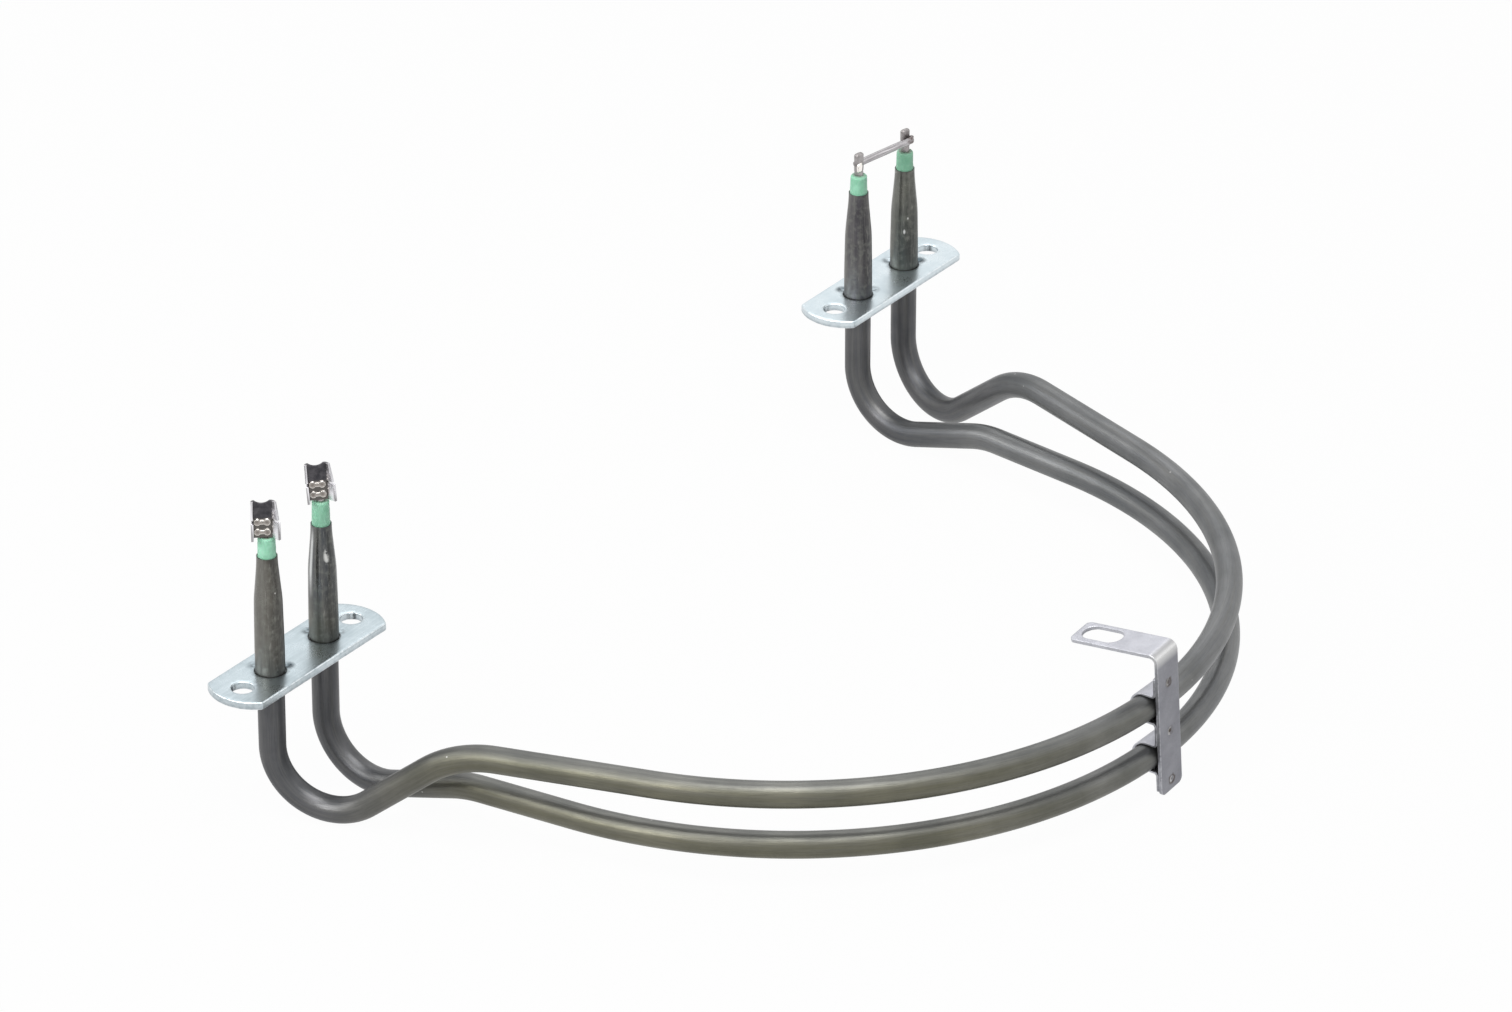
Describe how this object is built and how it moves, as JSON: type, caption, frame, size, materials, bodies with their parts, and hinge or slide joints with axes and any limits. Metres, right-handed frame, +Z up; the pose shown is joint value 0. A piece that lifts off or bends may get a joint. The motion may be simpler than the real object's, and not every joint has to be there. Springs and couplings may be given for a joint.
{
  "type": "tubular heating element",
  "caption": "Open ring heating element with stacked steel tubes, flange plates, pin terminals, push-on clips, a bridge wire and a support bracket.",
  "frame": {"origin": "midway between the flange plates, in the plane of their upper faces, which press against the wall", "axes": "+X from the left plate to the right plate, +Y away from the ring, +Z up along the terminals"},
  "size_m": [0.2924, 0.175, 0.0848],
  "materials": {
    "sheath_steel": "satin, heat-treated olive grey with marks along the tube",
    "powder_filling": "pressed powder",
    "coil_alloy": "drawn wire",
    "pin_steel": "satin",
    "seal_compound": "smooth mint green",
    "plate_zinc": "bright zinc plating",
    "clip_nickel": "nickel plating",
    "bridge_steel": "bright drawn wire",
    "strip_steel": "satin stainless strip"
  },
  "bodies": {
    "root": {"upper_sheath": "sheath_steel", "lower_sheath": "sheath_steel", "upper_insulation": "powder_filling", "lower_insulation": "powder_filling", "upper_coil": "coil_alloy", "lower_coil": "coil_alloy", "upper_left_pin": "pin_steel", "upper_right_pin": "pin_steel", "lower_left_pin": "pin_steel", "lower_right_pin": "pin_steel", "upper_left_seal": "seal_compound", "upper_right_seal": "seal_compound", "lower_left_seal": "seal_compound", "lower_right_seal": "seal_compound", "left_flange_plate": "plate_zinc", "right_flange_plate": "plate_zinc", "upper_left_clip": "clip_nickel", "lower_left_clip": "clip_nickel", "bridge_wire": "bridge_steel", "support_bracket": "strip_steel", "clamp_strip": "strip_steel"}
  },
  "joints": []
}
